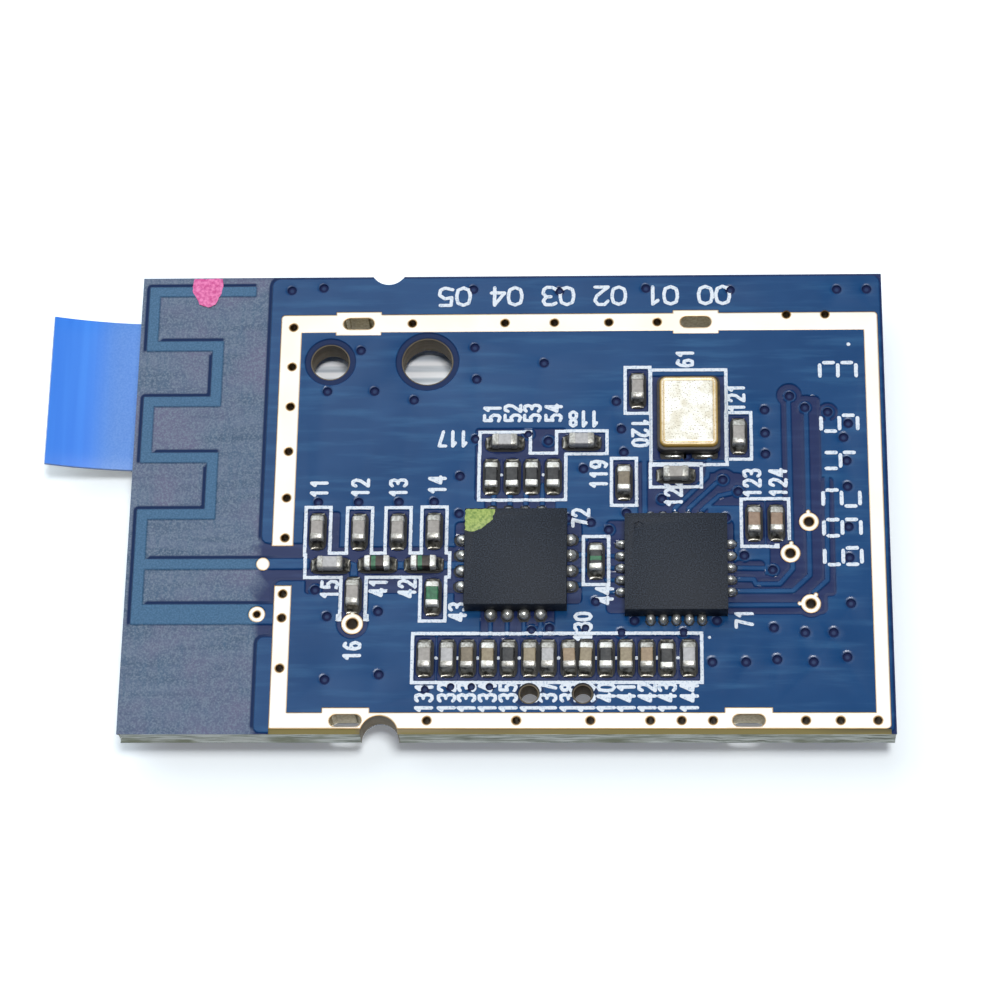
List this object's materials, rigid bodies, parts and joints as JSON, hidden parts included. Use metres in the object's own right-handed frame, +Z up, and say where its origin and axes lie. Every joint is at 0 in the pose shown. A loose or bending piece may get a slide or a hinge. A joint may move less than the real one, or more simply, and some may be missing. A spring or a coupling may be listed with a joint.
{
  "type": "wireless circuit board",
  "caption": "Small blue wireless circuit board with a printed meander antenna, a gold ring for a shield can, chip parts and a flat cable from its underside connector.",
  "frame": {"origin": "centre of the main locating hole at the laminate's underside", "axes": "+X along the board's length away from the antenna end, +Y across its width towards the edge by the locating holes, +Z up through the board on its parts side"},
  "size_m": [0.0338, 0.0195, 0.0032],
  "materials": {
    "glass_epoxy": "sawn and fibrous",
    "blue_mask": "smooth gloss",
    "copper": "etched foil",
    "gold_plating": "bright plating",
    "white_print": "printed ink",
    "solder": "bright solder",
    "tinned_metal": "tinned",
    "mould_compound": "matte moulded",
    "dark_ceramic": "fired",
    "plated_lid": "plated and worn",
    "capacitor_ceramic": "fired",
    "inductor_ceramic": "fired",
    "resistor_coat": "glazed",
    "cable_film": "smooth film",
    "blue_stiffener": "satin film",
    "connector_plastic": "moulded"
  },
  "bodies": {
    "root": {"antenna_copper": "copper", "board_laminate": "glass_epoxy", "bottom_copper": "copper", "cable_conductors": "tinned_metal", "cable_insulation": "cable_film", "cable_stiffeners": "blue_stiffener", "capacitor_01": "capacitor_ceramic", "capacitor_02": "capacitor_ceramic", "capacitor_03": "capacitor_ceramic", "capacitor_04": "capacitor_ceramic", "capacitor_05": "capacitor_ceramic", "capacitor_06": "capacitor_ceramic", "capacitor_07": "capacitor_ceramic", "capacitor_08": "capacitor_ceramic", "capacitor_09": "capacitor_ceramic", "capacitor_10": "capacitor_ceramic", "capacitor_11": "capacitor_ceramic", "capacitor_12": "capacitor_ceramic", "capacitor_13": "capacitor_ceramic", "capacitor_14": "capacitor_ceramic", "capacitor_15": "capacitor_ceramic", "capacitor_16": "capacitor_ceramic", "capacitor_17": "capacitor_ceramic", "capacitor_18": "capacitor_ceramic", "capacitor_19": "capacitor_ceramic", "capacitor_20": "capacitor_ceramic", "capacitor_21": "capacitor_ceramic", "capacitor_22": "capacitor_ceramic", "capacitor_23": "capacitor_ceramic", "capacitor_24": "capacitor_ceramic", "capacitor_25": "capacitor_ceramic", "component_lands": "gold_plating", "connector_contacts": "gold_plating", "connector_hold_downs": "tinned_metal", "connector_housing": "connector_plastic", "crystal_base": "dark_ceramic", "crystal_lid": "plated_lid", "ground_copper_top": "copper", "inductor_01": "inductor_ceramic", "inductor_02": "inductor_ceramic", "inductor_03": "inductor_ceramic", "inductor_04": "inductor_ceramic", "inductor_05": "inductor_ceramic", "inductor_06": "inductor_ceramic", "resistor_01": "resistor_coat", "resistor_02": "resistor_coat", "resistor_03": "resistor_coat", "resistor_04": "resistor_coat", "resistor_05": "resistor_coat", "shield_ring": "gold_plating", "silkscreen_outlines": "white_print", "solder_joints": "solder", "solder_mask_bottom": "blue_mask", "solder_mask_top": "blue_mask", "test_pads": "gold_plating", "u1_package": "mould_compound", "u1_terminals": "tinned_metal", "u2_package": "mould_compound", "u2_terminals": "tinned_metal"}
  },
  "joints": []
}
